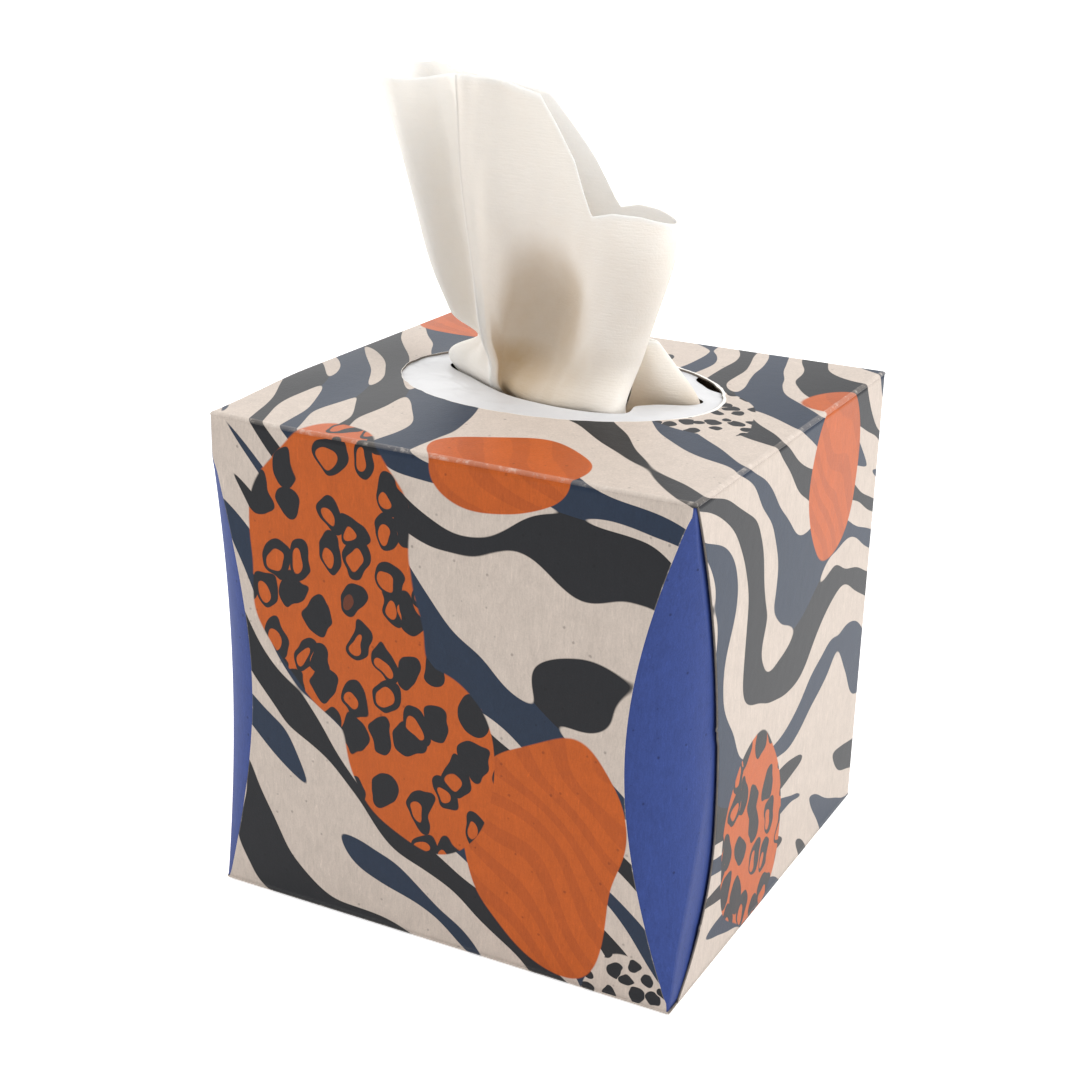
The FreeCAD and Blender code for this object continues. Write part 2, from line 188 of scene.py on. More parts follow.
def runsClockwise(loop):
    x, y = loop[:, 0], loop[:, 1]
    return (x * np.roll(y, -1) - np.roll(x, -1) * y).sum() < 0


def squareLoop(half, steps):
    # places round a square, and at each the way out, which at a corner is the diagonal
    side, one = np.linspace(-1, 1, steps, endpoint=False), np.ones(steps)
    x, y = np.concatenate([side, one, -side, -one]), np.concatenate([-one, side, one, -side])
    return x * half, y * half, np.where(np.abs(x) == 1, x, 0), np.where(np.abs(y) == 1, y, 0)


def softNoise(x, seed, waves=7):
    # a smooth random line: a few sines of rising frequency and random phase
    random = np.random.default_rng(seed)
    k = np.arange(1, waves + 1)
    phase, height = random.uniform(0, 2 * math.pi, waves), random.normal(0, 1, waves) / np.sqrt(k)
    return (height * np.sin(np.asarray(x)[..., None] * k + phase)).sum(-1) / math.sqrt(waves)


# Shader helpers


def rgb(red, green, blue):
    # a colour written as it shows on a screen, 0 to 255, as linear values
    parts = [c / 255 for c in (red, green, blue)]
    return tuple(c / 12.92 if c < 0.04045 else ((c + 0.055) / 1.055) ** 2.4 for c in parts) + (1,)


def fill(tree, inputs, sockets):
    # a link for a value that comes out of another node, and a plain value otherwise
    for key, value in sockets.items():
        if isinstance(value, bpy.types.NodeSocket):
            tree.links.new(value, inputs[key])
        else:
            inputs[key].default_value = value


def addNode(tree, kind, sockets=None, **settings):
    node = tree.nodes.new("ShaderNode" + kind)
    for key, value in settings.items():
        setattr(node, key, value)
    fill(tree, node.inputs, sockets or {})
    return node


def calc(tree, operation, a, b=0.0, c=0.0, clamp=False):
    node = addNode(tree, "Math", {0: a, 1: b, 2: c}, operation=operation, use_clamp=clamp)
    return node.outputs[0]


def scaled(tree, value, factor, offset, clamp=False):
    return calc(tree, "MULTIPLY_ADD", value, factor, offset, clamp)


def times(tree, a, b):
    return calc(tree, "MULTIPLY", a, b)


def vector(tree, operation, a, b=(0, 0, 0)):
    node = addNode(tree, "VectorMath", {0: a, 1: b}, operation=operation)
    return node.outputs["Value" if operation in ("LENGTH", "DOT_PRODUCT") else "Vector"]


def step(tree, value, low, high):
    # the same as smooth, for a socket
    sockets = {"Value": value, "From Min": low, "From Max": high}
    return addNode(tree, "MapRange", sockets, interpolation_type="SMOOTHSTEP").outputs[0]


def blend(tree, mask, a, b, kind="MIX"):
    return addNode(tree, "Mix", {0: mask, 6: a, 7: b}, data_type="RGBA", blend_type=kind).outputs[2]


def noise(tree, place, scale, detail=2.0, rough=0.5, distortion=0.0, output="Fac"):
    sockets = {"Vector": place, "Scale": scale, "Detail": detail, "Roughness": rough}
    sockets["Distortion"] = distortion
    return addNode(tree, "TexNoise", sockets).outputs[output]


def chance(tree, cells):
    # one random number for each cell
    return addNode(tree, "SeparateColor", {0: cells.outputs["Color"]}).outputs[0]


def rareSpecks(tree, place, scale, rare, size):
    # dots in the few cells whose random number is past the first span
    cells = addNode(tree, "TexVoronoi", {"Vector": place, "Scale": scale})
    chosen = step(tree, chance(tree, cells), *rare)
    return times(tree, chosen, step(tree, cells.outputs["Distance"], *size))


def shadeBy(tree, colour, light):
    shade = addNode(tree, "CombineColor", {0: light, 1: light, 2: light}).outputs[0]
    return blend(tree, 1.0, colour, shade, "MULTIPLY")


def attribute(tree, name):
    return addNode(tree, "Attribute", attribute_name=name).outputs["Fac"]


def newGroup(name, inputs, outputs):
    tree = bpy.data.node_groups.new(name, "ShaderNodeTree")
    for way, sockets in (("INPUT", inputs), ("OUTPUT", outputs)):
        for key, kind in sockets.items():
            tree.interface.new_socket(name=key, in_out=way, socket_type="NodeSocket" + kind)
    return tree, tree.nodes.new("NodeGroupInput").outputs, tree.nodes.new("NodeGroupOutput").inputs


def newMaterial(name):
    material = bpy.data.materials.new(name)
    material.use_nodes = True
    tree = material.node_tree
    shader = tree.nodes["Principled BSDF"]
    place = addNode(tree, "TexCoord").outputs["Object"]
    return material, tree, shader, place


def useGroup(tree, group, sockets):
    return addNode(tree, "Group", sockets, node_tree=group).outputs


def bump(tree, shader, height, distance):
    # distance in metres
    node = addNode(tree, "Bump", {"Height": height, "Distance": distance, "Strength": 1.0})
    fill(tree, shader.inputs, {"Normal": node.outputs["Normal"]})


# Board: pressed recycled fibre, with specks, short fibres and a slightly uneven face

boardValues = {
    "plain": rgb(196, 183, 172),
    "inside": rgb(178, 158, 138),
    "cut": rgb(128, 120, 112),
    "torn": rgb(240, 237, 232),
    # paler colour on the folds: partly rubbed wear, partly painted highlight on the rounded fold
    "fold": rgb(222, 212, 202),
    "blue": rgb(50, 67, 125),
}


def makeBoardGroup():
    inputs = {"Place": "Vector", "Color": "Color", "Strength": "Float"}
    outputs = {"Color": "Color", "Height": "Float"}
    tree, given, result = newGroup("boardFibre", inputs, outputs)
    place = given["Place"]
    cloud = noise(tree, place, 260.0, 3.0, 0.6)
    grain = noise(tree, place, 2600.0, 2.0, 0.6)
    stretched = vector(tree, "MULTIPLY", place, (1500, 1500, 330))
    fibre = noise(tree, stretched, 1.0, 2.0, 0.7, 1.2)
    light = scaled(tree, cloud, 0.18, 0.91)
    light = scaled(tree, grain, 0.24, calc(tree, "ADD", light, -0.12))
    light = scaled(tree, fibre, 0.34, calc(tree, "ADD", light, -0.17))
    dot = rareSpecks(tree, place, 520.0, (0.84, 0.85), (0.22, 0.1))
    light = scaled(tree, dot, -0.3, light)
    pale = step(tree, fibre, 0.66, 0.74)
    light = scaled(tree, pale, 0.08, light)
    light = scaled(tree, calc(tree, "ADD", light, -1.0), given["Strength"], 1.0)
    height = scaled(tree, grain, 0.6, times(tree, cloud, 0.8))
    fill(tree, result, {"Color": shadeBy(tree, given["Color"], light), "Height": height})
    return tree


boardFibre = makeBoardGroup()

# Print: fields of orange, some with dots and rings and some with faint veins, and patches of small
# dots, over stripes in charcoal and navy that swell and taper. Fields and stripes are worked out in
# space, so they run on over every fold, and the dots on the unfolded sheet.

printValues = {
    "orange": rgb(186, 88, 29),
    "orangeDeep": rgb(165, 76, 27),
    "charcoal": rgb(24, 25, 29),
    "navy": rgb(30, 43, 62),
    "wide": 0.0112,
    "dottedFields": [
        ((-24, -58, 80), (25, 22, 34)),
        ((-2, -58, 44), (20, 22, 25)),
        ((57, -12, 22), (16, 17, 26)),
        ((-57, 22, 70), (20, 24, 28)),
        ((14, 57, 66), (26, 20, 24)),
    ],
    "veinedFields": [
        ((27, -50, 30), (19, 22, 25)),
        ((57, 26, 92), (18, 17, 21)),
        ((-44, 44, 112), (20, 18, 14)),
        ((12, -50, 114), (19, 14, 12)),
        ((-57, -30, 22), (20, 20, 18)),
        ((-34, 57, 24), (18, 20, 18)),
    ],
    "dottedGround": [
        ((36, -2, 113), (15, 17, 10)), ((-20, 58, 100), (20, 20, 12)), ((46, -56, 4), (12, 12, 9)),
    ],
}


def fieldMask(tree, place, fields, edge):
    # 1 inside the nearest of some rounded fields, each the space within a stretched ball
    nearest = None
    for centre, radii in fields:
        moved = vector(tree, "SUBTRACT", place, [c * mm for c in centre])
        reach = vector(tree, "LENGTH", vector(tree, "DIVIDE", moved, [r * mm for r in radii]))
        nearest = reach if nearest is None else calc(tree, "SMOOTH_MIN", nearest, reach, 0.3)
    return step(tree, nearest, 1 + edge, 1 - edge)


def warp(tree, place, scale, amount, detail=1.0):
    # the place, moved about by soft noise
    colour = noise(tree, place, scale, detail, output="Color")
    moved = vector(tree, "SUBTRACT", colour, (0.5, 0.5, 0.5))
    return vector(tree, "ADD", place, vector(tree, "MULTIPLY", moved, [amount * mm] * 3))


def cellDots(tree, place, scale, randomness=0.75):
    sockets = {"Vector": place, "Scale": scale, "Randomness": randomness}
    return addNode(tree, "TexVoronoi", sockets, voronoi_dimensions="2D")


def makeStripes(tree, place, wide):
    # a sine along one slanting direction, bent by soft noise and cut at a level that itself drifts:
    # low levels give dark shapes with pale slits, high ones give strokes that taper to nothing
    bent = warp(tree, place, 17.0, 62, 0.0)
    along = vector(tree, "DOT_PRODUCT", bent, (0.60, 0.34, 0.72))
    phase = times(tree, along, 2 * math.pi / wide)
    wave = calc(tree, "SINE", phase)
    drift = noise(tree, vector(tree, "ADD", place, (0.31, 0.12, 0.07)), 34.0, 1.0, 0.4)
    span = {"Value": drift, "From Min": 0.36, "From Max": 0.66, "To Min": -1.1, "To Max": 0.95}
    level = addNode(tree, "MapRange", span, clamp=False).outputs[0]
    mask = step(tree, calc(tree, "SUBTRACT", wave, level), -0.03, 0.03)
    # every other stripe, told apart by a sine of half the rate that turns over in the gaps
    slow = calc(tree, "SINE", scaled(tree, phase, 0.5, math.pi / 4))
    return mask, step(tree, slow, -0.01, 0.01)


def makePrintGroup(values):
    inputs = {"Place": "Vector", "Flat": "Vector", "Board": "Color"}
    outputs = {"Color": "Color", "Ink": "Float"}
    tree, given, result = newGroup("printPattern", inputs, outputs)
    place, flat = given["Place"], given["Flat"]
    stripeMask, other = makeStripes(tree, place, values["wide"])
    ink = blend(tree, other, values["charcoal"], values["navy"])
    colour = blend(tree, stripeMask, given["Board"], ink)
    # small dots
    small = cellDots(tree, warp(tree, flat, 240.0, 3.2), 225.0)
    size = scaled(tree, chance(tree, small), 0.16, 0.27)
    smallMask = step(tree, calc(tree, "SUBTRACT", size, small.outputs["Distance"]), -0.015, 0.015)
    dotted = blend(tree, smallMask, given["Board"], values["charcoal"])
    # dots and rings: a ring is a dot less a smaller dot that is a little off its middle
    loose = vector(tree, "MULTIPLY", warp(tree, flat, 120.0, 7.0), (1.15, 0.85, 1))
    big = cellDots(tree, loose, 118.0, 0.7)
    dots = step(tree, big.outputs["Distance"], 0.435, 0.415)
    inner = cellDots(tree, vector(tree, "ADD", loose, (0.0009, 0.0006, 0)), 118.0, 0.7)
    hole = step(tree, inner.outputs["Distance"], 0.225, 0.205)
    hole = times(tree, hole, step(tree, chance(tree, big), 0.38, 0.39))
    dotMask = calc(tree, "SUBTRACT", dots, hole, clamp=True)
    worn = noise(tree, place, 1500.0, 2.0, 0.7)
    orange = blend(tree, times(tree, worn, 0.35), values["orange"], values["orangeDeep"])
    spotted = blend(tree, dotMask, orange, values["charcoal"])
    # faint veins
    sockets = {"Vector": warp(tree, place, 20.0, 40), "Scale": 62.0, "Distortion": 4.0}
    sockets |= {"Detail": 1.0, "Detail Scale": 0.6}
    lines = addNode(tree, "TexWave", sockets, bands_direction="DIAGONAL").outputs["Fac"]
    veins = times(tree, step(tree, lines, 0.52, 0.66), 0.6)
    veined = blend(tree, veins, orange, values["orangeDeep"])
    # layers from the ground up, each field over the one before it
    loosely = warp(tree, place, 24.0, 22)
    dottedMask = fieldMask(tree, loosely, values["dottedGround"], 0.012)
    veinedMask = fieldMask(tree, loosely, values["veinedFields"], 0.008)
    spottedMask = fieldMask(tree, loosely, values["dottedFields"], 0.008)
    colour = blend(tree, dottedMask, colour, dotted)
    colour = blend(tree, veinedMask, colour, veined)
    colour = blend(tree, spottedMask, colour, spotted)
    stripes = times(tree, stripeMask, calc(tree, "SUBTRACT", 1.0, dottedMask))
    fields = calc(tree, "MAXIMUM", veinedMask, spottedMask)
    fill(tree, result, {"Color": colour, "Ink": calc(tree, "MAXIMUM", stripes, fields)})
    return tree


printPattern = makePrintGroup(printValues)


def makePrintedCard():
    # the board's printed face, with paler folds, partly rubbed wear and partly painted highlight
    # where the rounded fold catches light, and white where the surface is torn
    material, tree, shader, place = newMaterial("printedCard")
    flat = addNode(tree, "UVMap", uv_map="flat").outputs[0]
    plain = boardValues["plain"]
    board = useGroup(tree, boardFibre, {"Place": place, "Color": plain, "Strength": 1.7})
    inked = useGroup(tree, printPattern, {"Place": place, "Flat": flat, "Board": plain})
    sockets = {"Place": place, "Color": inked["Color"], "Strength": 1.1}
    shown = useGroup(tree, boardFibre, sockets)["Color"]
    # paler along the folds: partly rubbed wear and partly painted highlight on the rounded fold
    rub = noise(tree, place, 520.0, 4.0, 0.7)
    worn = scaled(tree, step(tree, rub, 0.50, 0.72), 0.4, 0.14)
    worn = times(tree, attribute(tree, "fold"), worn)
    shown = blend(tree, worn, shown, boardValues["fold"])
    torn = step(tree, scaled(tree, rub, 0.5, attribute(tree, "torn")), 0.58, 0.62)
    shown = blend(tree, torn, shown, boardValues["torn"])
    rough = scaled(tree, inked["Ink"], -0.08, 0.5)
    rough = scaled(tree, torn, 0.3, rough)
    fill(tree, shader.inputs, {"Base Color": shown, "Roughness": rough, "Specular IOR Level": 0.2})
    bump(tree, shader, board["Height"], 0.00006)
    return material


def makePlainCard(name, colour, strength, roughness):
    material, tree, shader, place = newMaterial(name)
    board = useGroup(tree, boardFibre, {"Place": place, "Color": colour, "Strength": strength})
    sockets = {"Base Color": board["Color"], "Roughness": roughness, "Specular IOR Level": 0.15}
    fill(tree, shader.inputs, sockets)
    bump(tree, shader, board["Height"], 0.00006)
    return material


printedCard = makePrintedCard()
blueCard = makePlainCard("blueCard", boardValues["blue"], 1.4, 0.52)
cutCard = makePlainCard("cutCard", boardValues["cut"], 1.6, 0.85)
bareCard = makePlainCard("bareCard", boardValues["inside"], 1.2, 0.8)
cardMaterials = [printedCard, blueCard, cutCard, bareCard]
print("stage: card materials")


# Carton

cartonValues = {
    "half": 55.0,
    "height": 110.0,
    "board": 0.45,
    "foldRadius": 0.8,
    "foldWear": 0.25,
    "seamGap": 0.5,
    "seamGlued": 9.0,
    "dome": 2.3,
    # the left top fold's rise, and the spans of x, y and z over which it grows
    "leftLift": {"rise": 1.8, "x": (-34, -55), "y": (-55, -20), "z": (85, 109.2)},
    # the mesh's rows and columns, those of the top and the base along one side
    "rows": 110,
    "panelColumns": 22,
    "frontColumns": 44,
    "topColumns": 120,
    "baseColumns": 60,
    "rightLens": {
        "radius": 22.0, "setback": 19.3, "sink": 8.0, "halfLength": 55.0, "middle": 55.0,
        "columns": 26,
    },
    "leftLens": {
        "radius": 20.0, "setback": (13.5, 19.4), "sink": 3.6, "halfLength": 52.0, "middle": 50.0,
        "columns": 18,
    },
    # widths between which a lens that narrows turns into the corner's line
    "lensGone": (1.6, 0.3),
    "freeEdge": {"widest": 19.2, "widestHeight": 33.0, "foot": 2.5, "head": 0.4},
    "nibs": [(57.0, 0.45, 0.5), (13.0, 0.35, 0.45)],
    "stepHeight": 52.5,
    "stepDepth": 0.5,
}


def lensPoints(lens, side, centre, turn, height):
    # inner side of a big ring: at an angle round the tube and a height, the point's distance from
    # the ring's axis gives the rise round the ring, and so how far out along the diagonal it lies
    ring = (lens["halfLength"] ** 2 + lens["sink"] ** 2) / (2 * lens["sink"])
    reach = ring + lens["radius"]
    distance = reach - lens["radius"] * np.cos(turn)
    sine = (height - lens["middle"]) / distance
    outward = reach - distance * np.sqrt(1 - sine**2)
    across = lens["radius"] * np.sin(turn)
    x = centre[0] + (side * outward + across) * math.sqrt(0.5)
    y = centre[1] + (side * across - outward) * math.sqrt(0.5)
    return x, y


def freeEdgeInset(values, height):
    # how far the right panel's free edge lies behind the front: two arcs that meet at the widest
    # place, with small die-cut nibs and one step
    edge = values["freeEdge"]
    upper = height > edge["widestHeight"]
    run = edge["widest"] - np.where(upper, edge["head"], edge["foot"])
    rise = np.where(upper, values["height"] - edge["widestHeight"], edge["widestHeight"])
    radius = (rise**2 + run**2) / (2 * run)
    inset = edge["widest"] - radius + np.sqrt(radius**2 - (height - edge["widestHeight"]) ** 2)
    for place, length, wide in values["nibs"]:
        inset = inset - length * bell(height, place, wide, 4)
    foot = values["stepHeight"]
    return inset + values["stepDepth"] * smooth(height, foot + 2.5, foot)


def edgeLift(values, x, y):
    # the top fold on the left stands a little high, most toward the back
    lift = values["leftLift"]
    return lift["rise"] * smooth(x, *lift["x"]) * (0.3 + 0.7 * smooth(y, *lift["y"]))


def sleeveHeights(values):
    # even rows, with closer ones at the nibs and the step
    fold, foot = values["foldRadius"], values["stepHeight"]
    rows = [np.linspace(fold, values["height"] - fold, values["rows"])]
    rows += [np.linspace(n[0] - 2 * n[2], n[0] + 2 * n[2], 14) for n in values["nibs"]]
    rows.append(np.linspace(foot - 0.5, foot + 3.0, 10))
    return np.unique(np.concatenate(rows))[:, None]


def lensStrip(values, lens, side, centre, z, limit, tests, corner):
    # The lens between its two creases, which the tests find. Where it has run out, the pale fold
    # line round the corner is left, from a little before it to a little after.
    half = values["half"]

    def at(turn):
        return lensPoints(lens, side, centre, turn, z)

    widest = np.full_like(z, math.pi / 4)
    start, end = (firstRise(lambda turn: test(*at(turn)), -widest, widest) for test in tests)
    share = np.linspace(0, 1, lens["columns"])[None, :]
    x, y = at(start + (end - start) * share)
    gone = smooth((end - start) * lens["radius"], *values["lensGone"])
    x, y = (
        place * (1 - gone) + (first + (last - first) * share) * gone
        for place, first, last in zip((x, y), *corner)
    )
    return np.clip(x, -half, limit), np.maximum(y, -half)


def makeSleeve(values):
    # Side panels as one strip round the box, a row at each height: the right panel from its free
    # edge, the back, the left, the left lens, the front, the right lens and its flap.
    half, fold, wear = values["half"], values["foldRadius"], values["foldWear"]
    z = sleeveHeights(values)
    one = np.ones_like(z)
    # the flap lies close under the right panel at both ends and gapes between
    touching, low, high = 0.04, 0.5, 13
    gape = band(z, (low, high), (values["height"] - low, values["height"] - high))
    flapX = half - values["board"] - touching - (values["seamGap"] - touching) * gape
    right, left = values["rightLens"], values["leftLens"]
    inward = values["board"] + values["seamGap"] + right["radius"] - 0.02
    lensRight = lensStrip(
        values, right, 1, (half - inward, right["setback"] - half), z, flapX,
        (lambda x, y: y + half, lambda x, y: x - flapX),
        ((flapX - wear, -half), (flapX, wear - half)),
    )
    lensLeft = lensStrip(
        values, left, -1, (left["setback"][0] - half, left["setback"][1] - half), z, half,
        (lambda x, y: x + half, lambda x, y: -y - half + 1e-9),
        ((-half, wear - half), (wear - half, -half)),
    )
    strip = []

    def add(x, y, kind=0, worn=0.0, along=0.0):
        # some columns, with their material, their pale fold mark and their place on the unfolded
        # sheet
        x, y, along, worn = np.broadcast_arrays(x * one, y * one, along * one, worn)
        height, kind = z * np.ones_like(x), np.full(x.shape, kind)
        strip.append(joined(x, y, height, along, height, worn, kind))

    def run(start, end, count, first=wear, last=wear):
        # even places from start to end, with one close to each end for the pale fold line
        sign = np.sign(end - start)
        a, b = start + sign * first, end - sign * last
        inside = (a + (b - a) * np.linspace(0, 1, count)[None, :]) * one
        return np.hstack([start * one, inside, end * one])

    def ends(count, first, last):
        return np.concatenate([[first], np.zeros(count), [last]])

    # places on the unfolded sheet count from the middle of the front, to the right
    inner, side, count, wide = half - fold, 2 * half, values["panelColumns"], values["frontColumns"]
    bend = np.linspace(0, math.pi / 2, 6)[None, 1:-1]
    across, down = inner + fold * np.cos(bend), inner + fold * np.sin(bend)
    freeY = freeEdgeInset(values, z) - half
    y = run(freeY, inner, count)
    add(half, y, 0, ends(count, 0.6, 1), side + y)
    add(across, down, 0, 1.0, side + half)
    x = run(inner, -inner, count)
    add(x, half, 0, ends(count, 1, 1), 2 * side - x)
    add(-down, across, 0, 1.0, 2 * side + half)
    y = run(inner, lensLeft[1][:, :1], count)
    add(-half, y, 0, ends(count, 1, 1), 3 * side - y)
    add(lensLeft[0][:, 1:-1], lensLeft[1][:, 1:-1], 1)
    x = run(lensLeft[0][:, -1:], lensRight[0][:, :1], wide)
    add(x, -half, 0, ends(wide, 0.8, 1.6), x)
    add(lensRight[0][:, 1:], lensRight[1][:, 1:], 1)
    creaseY = lensRight[1][:, -1:]
    flap = freeY + values["seamGlued"] - creaseY
    add(flapX, creaseY + flap * np.linspace(0, 1, 10)[None, 1:], 1)
    whole = np.concatenate(strip, axis=1)
    points, flat, worn, kinds = whole[..., :3], whole[..., 3:5], whole[..., 5], whole[0, :, 6]
    # a patch is blue if either of its columns is
    between = np.maximum(kinds[:-1], kinds[1:])[None, :]
    lift = edgeLift(values, points[..., 0], points[..., 1])
    points[..., 2] += lift * smooth(points[..., 2], *values["leftLift"]["z"])
    return grid(points, kinds=between, flat=flat, fold=worn, torn=0.0)


def domeHeight(values, x, y):
    # the top panel bulges, highest in the middle, and its folds are level but for the left one
    reach = values["half"] - values["foldRadius"]
    bulge = np.clip(1 - (x / reach) ** 2, 0, 1) * np.clip(1 - (y / reach) ** 2, 0, 1)
    return values["dome"] * bulge + edgeLift(values, x, y)


holeValues = {
    "centre": (-2.0, 1.0),
    "halfLength": 37.0,
    "halfWidth": 28.0,
    "perforation": 2.4,
    "nib": 0.28,
    "tornFrom": -25.0,
    "tornTo": 75.0,
    "tornWidth": 1.5,
}


def holePlace(hole, angle, outward):
    x = hole["centre"][0] + (hole["halfLength"] + outward) * np.cos(angle)
    return x, hole["centre"][1] + (hole["halfWidth"] + outward) * np.sin(angle)


def holeOutline(hole, angle):
    # an oval, with a small tooth left by each perforation; the teeth differ in size
    around = (hole["halfLength"] + hole["halfWidth"]) * angle / hole["perforation"]
    tooth = np.abs(np.sin(around / 2)) ** 6 * (0.6 + 0.4 * softNoise(angle, 5, 9))
    shrink = hole["nib"] * tooth
    return holePlace(hole, angle, -shrink)


def holeAngle(hole, x, y):
    right, back = x - hole["centre"][0], y - hole["centre"][1]
    return np.arctan2(back / hole["halfWidth"], right / hole["halfLength"])


def roundedFold(square, fold, turn):
    x, y, normalX, normalY = square
    return x + normalX * fold * np.sin(turn), y + normalY * fold * np.sin(turn)


def makeTop(values, hole):
    # Top panel: rings from the torn oval out to the square, then a rounded fold all round.
    half, fold, wear = values["half"], values["foldRadius"], values["foldWear"]
    square = squareLoop(half - fold, values["topColumns"])
    squareX, squareY = square[:2]
    angle = holeAngle(hole, squareX, squareY)
    holeX, holeY = holeOutline(hole, angle)
    length = np.hypot(squareX - holeX, squareY - holeY)
    near = np.array([0, 0.2, 0.5, 0.9, 1.4, 2.0, 3.0])[:, None]
    far = near[-1] + (length - near[-1] - wear) * np.linspace(0, 1, 20)[1:, None]
    distance = np.vstack([near * np.ones_like(length), far, length[None]])
    x = holeX + (squareX - holeX) * distance / length
    y = holeY + (squareY - holeY) * distance / length
    z = values["height"] + domeHeight(values, x, y)
    # the torn rim's white strip is wide where the oval was torn off, and narrow elsewhere
    soft, start, end = 8, hole["tornFrom"], hole["tornTo"]
    sector = band(np.degrees(angle), (start - soft, start + soft), (end + soft, end - soft))
    width = hole["tornWidth"] * (0.12 + 0.88 * sector) * (0.75 + 0.35 * softNoise(angle * 3, 8, 11))
    torn = np.clip(1.0 - distance / np.maximum(width, 0.05), 0, 1)
    worn = np.zeros((len(x) - 1, 1))
    # the fold: a quarter circle from the flat top down to the sides
    turn = np.linspace(0, math.pi / 2, 6)[1:, None]
    bendX, bendY = roundedFold(square, fold, turn)
    bendZ = values["height"] - fold + fold * np.cos(turn) + edgeLift(values, bendX, bendY)
    x, y, z = np.vstack([x, bendX]), np.vstack([y, bendY]), np.vstack([z, bendZ])
    worn = np.vstack([worn, np.array([1, 1, 1, 1, 0.6, 0.2])[:, None]])
    torn = np.vstack([torn, 0 * bendX])
    points = joined(x, y, z)[::-1]
    flat = joined(x, y + values["height"] + half)[::-1]
    return grid(points, loop=True, flat=flat, fold=worn[::-1], torn=torn[::-1])


def makeBase(values):
    # Base: the outer closing flap, flat, with the same rounded fold, closed in the middle.
    half, fold = values["half"], values["foldRadius"]
    square = squareLoop(half - fold, values["baseColumns"])
    squareX, squareY = square[:2]
    turn = np.linspace(0, math.pi / 2, 6)[::-1, None]
    bendX, bendY = roundedFold(square, fold, turn)
    bendZ = fold - fold * np.cos(turn) + 0 * squareX
    share = np.linspace(1, 0.001, 26)[1:, None]
    x, y = np.vstack([bendX, squareX * share]), np.vstack([bendY, squareY * share])
    z = np.vstack([bendZ, 0 * squareX * share])
    points = joined(x, y, z)[::-1]
    worn = np.zeros((len(x), 1))
    worn[:5] = np.array([0, 0.5, 1, 1, 0.6])[:, None]
    flat = joined(x, -y - half)[::-1]
    return grid(points, loop=True, flat=flat, fold=worn[::-1], torn=0.0)


def makeCarton(values, hole):
    grids = [makeSleeve(values), makeTop(values, hole), makeBase(values)]
    carton = makePiece("cartonBoard", grids, cardMaterials)
    addWall(carton, values["board"], even=True, rim=2, inside=3)
    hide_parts("carton")
    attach(carton, "root")


makeCarton(cartonValues, holeValues)
print("stage: carton")


# Film under the opening

filmValues = {
    "shade": rgb(199, 200, 202),
    "white": rgb(210, 210, 212),
    "under": 0.55,
    "margin": 5.0,
    "thickness": 0.08,
    "lips": [
        (-31.2, 4.9), (-28.6, 0.5), (-21.4, -4.0), (-13.9, -9.5), (-4.8, -15.0), (4.4, -17.2),
        (13.2, -17.2), (20.7, -14.2), (20.4, -8.5), (21.2, -3.2), (24.6, -0.6), (28.4, 1.3),
        (30.4, 4.5), (28.7, 7.2), (22, 9.3), (12, 9.6), (0, 8.8), (-14, 9.6), (-26, 9.0),
    ],
    "lipLevel": 110.7,
    "lift": 0.9,
    "settle": 5.0,
    "ripple": 0.22,
    "columns": 240,
    # where the film has come away from the board, in degrees round the opening, and how far
    "loose": (38.0, 15.0, 7.4),
}


def makeFilmMaterial(values):
    material, tree, shader, place = newMaterial("slitFilm")
    haze = noise(tree, place, 60.0, 2.0)
    colour = blend(tree, haze, values["shade"], values["white"])
    rough = scaled(tree, haze, 0.2, 0.22)
    sockets = {"Base Color": colour, "Roughness": rough, "Specular IOR Level": 0.5}
    fill(tree, shader.inputs, sockets)
    wave = noise(tree, place, 130.0, 2.0, 0.4, 0.6)
    bump(tree, shader, wave, 0.0005)
    return material


def makeFilm(values, hole, carton):
    # Film: rings from the lips of the slit out to an oval a little larger than the opening. It lies
    # under the bulged top, and its lips are pushed up and forward where the tissue leans on them.
    lips = loopCurve(values["lips"], values["columns"])
    angle = np.unwrap(holeAngle(hole, lips[:, 0], lips[:, 1]))
    place, spread, depth = values["loose"]
    away = (np.degrees(angle) - place + 180) % 360 - 180
    reach = values["margin"] - depth * bell(away, 0, spread, 4)
    outerX, outerY = holePlace(hole, angle, reach)
    share = (np.linspace(0, 1, 40) ** 1.5)[:, None]
    x = lips[:, 0] + (outerX - lips[:, 0]) * share
    y = lips[:, 1] + (outerY - lips[:, 1]) * share
    under = carton["height"] + domeHeight(carton, x, y) - values["under"]
    near = np.exp(-share * values["settle"])
    front = smooth(-lips[:, 1], 2, 10) * smooth(lips[:, 0], -22, 2)
    z = under * (1 - near) + (values["lipLevel"] + values["lift"] * front) * near
    ripple = softNoise(angle * 3.0, 21, 8) * values["ripple"] * np.sin(math.pi * share) ** 2
    points = joined(x, y, np.minimum(z + ripple, under + 0.6 * near))
    film = makePiece("slitFilm", [grid(points, loop=True)], [makeFilmMaterial(values)])
    addWall(film, values["thickness"])
    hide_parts("slit_film")
    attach(film, "root")


makeFilm(filmValues, holeValues, cartonValues)
print("stage: film")


# Tissue

tissueValues = {
    "white": rgb(248, 240, 229),
    # painted shade: darker paper where light from behind is blocked, and in the hollows
    "paintedShadeColour": rgb(180, 152, 115),
    # painted light: brighter paper where a single ply shows light through
    "thin": rgb(254, 249, 240),
    "speck": rgb(96, 82, 66),
}


